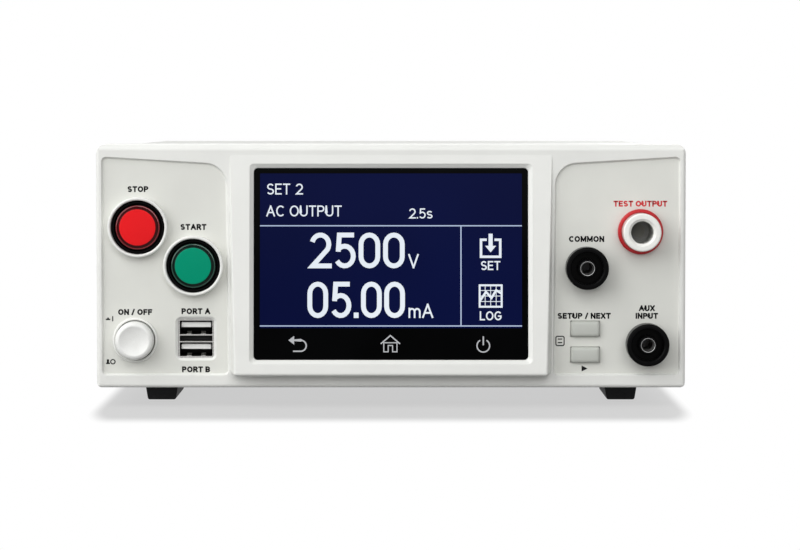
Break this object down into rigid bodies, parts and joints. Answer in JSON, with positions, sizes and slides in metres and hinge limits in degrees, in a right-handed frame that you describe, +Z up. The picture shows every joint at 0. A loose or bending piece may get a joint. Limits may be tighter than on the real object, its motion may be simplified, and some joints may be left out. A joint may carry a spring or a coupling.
{
  "type": "hipot tester",
  "caption": "Half-rack bench hipot tester with a sloping display, start and stop buttons, a high-voltage jack, lead sockets, vented metal case, rear fan and fused mains inlet.",
  "frame": {"origin": "on the standing surface, under the middle of the part's outline", "axes": "+X to the right seen from the front, the front faces -Y, +Z up"},
  "size_m": [0.215, 0.324, 0.096],
  "materials": {
    "bezel": "fine moulded texture, off-white",
    "display_glass": "gloss black cover glass over a lit display",
    "module_frame": "satin",
    "circuit_board": "green solder mask",
    "black_plastic": "satin black",
    "red_cap": "gloss",
    "green_cap": "gloss",
    "white_cap": "satin white",
    "key_grey": "satin pale grey",
    "red_ring": "satin red",
    "insulator": "ivory white",
    "brass": "nickel-free brass",
    "nickel": "bright nickel",
    "cover_paint": "fine textured paint, off-white",
    "zinc_sheet": "zinc-plated sheet",
    "foot_rubber": "matt black",
    "aluminium": "extruded",
    "core_iron": "varnished laminations",
    "coil_copper": "taped copper winding",
    "capacitor": "shrink sleeve",
    "fuse_glass": "glass tube with metal ends"
  },
  "bodies": {
    "case": {"front_bezel": "bezel", "display_glass": "display_glass", "lcd_module": "module_frame", "display_board": "circuit_board", "reset_collar": "black_plastic", "reset_switch": "black_plastic", "test_collar": "black_plastic", "test_switch": "black_plastic", "power_switch": "black_plastic", "key_board": "circuit_board", "hv_ring": "red_ring", "hv_insulator": "insulator", "hv_contact": "brass", "hv_nut": "insulator", "return_jack": "black_plastic", "return_socket": "brass", "return_nut": "nickel", "cont_jack": "black_plastic", "cont_socket": "brass", "cont_nut": "nickel", "usb_shell": "nickel", "usb_tongues": "white_cap", "base_chassis": "zinc_sheet", "top_cover": "cover_paint", "rear_panel": "zinc_sheet", "front_feet": "foot_rubber", "rear_feet": "foot_rubber", "fan_frame": "black_plastic", "finger_guard": "nickel", "mains_inlet": "black_plastic", "inlet_pins": "nickel", "signal_port": "nickel", "serial_port": "nickel", "port_inserts": "black_plastic", "data_port": "nickel", "ground_stud": "brass", "ground_nut": "brass", "main_board": "circuit_board", "board_standoffs": "nickel", "heat_sink": "aluminium", "capacitors": "capacitor", "transformer_core": "core_iron", "transformer_coil": "coil_copper", "power_supply": "zinc_sheet", "cover_screws": "nickel", "fan_screws": "nickel"},
    "reset_button": {"reset_cap": "red_cap"},
    "test_button": {"test_cap": "green_cap"},
    "power_button": {"power_cap": "white_cap"},
    "upper_key_body": {"upper_key": "key_grey"},
    "lower_key_body": {"lower_key": "key_grey"},
    "fan": {"fan_rotor": "black_plastic"},
    "fuse_holder": {"fuse_drawer": "black_plastic", "fuse": "fuse_glass"},
    "left_leg": {"left_tilt_leg": "black_plastic"},
    "right_leg": {"right_tilt_leg": "black_plastic"}
  },
  "joints": [
    {"name": "reset_press", "type": "slide", "parent": "case", "child": "reset_button", "axis": [0, 1, 0], "range_m": [0, 0.0024], "stiffness_N_per_m": 800},
    {"name": "test_press", "type": "slide", "parent": "case", "child": "test_button", "axis": [0, 1, 0], "range_m": [0, 0.0024], "stiffness_N_per_m": 800},
    {"name": "power_press", "type": "slide", "parent": "case", "child": "power_button", "axis": [0, 1, 0], "range_m": [0, 0.004], "stiffness_N_per_m": 500},
    {"name": "upper_key_press", "type": "slide", "parent": "case", "child": "upper_key_body", "axis": [0, 1, 0], "range_m": [0, 0.0008], "stiffness_N_per_m": 1500},
    {"name": "lower_key_press", "type": "slide", "parent": "case", "child": "lower_key_body", "axis": [0, 1, 0], "range_m": [0, 0.0008], "stiffness_N_per_m": 1500},
    {"name": "fan_spin", "type": "hinge", "parent": "case", "child": "fan", "pos_m": [0.062, 0.13895, 0.052], "axis": [0, 1, 0], "continuous": true},
    {"name": "fuse_drawer_slide", "type": "slide", "parent": "case", "child": "fuse_holder", "axis": [0, 1, 0], "range_m": [0, 0.02]},
    {"name": "left_leg_fold", "type": "hinge", "parent": "case", "child": "left_leg", "pos_m": [-0.086, -0.11605, 0.0023], "axis": [-1, 0, 0], "range_deg": [0, 95]},
    {"name": "right_leg_fold", "type": "hinge", "parent": "case", "child": "right_leg", "pos_m": [0.086, -0.11605, 0.0023], "axis": [-1, 0, 0], "range_deg": [0, 95]}
  ]
}
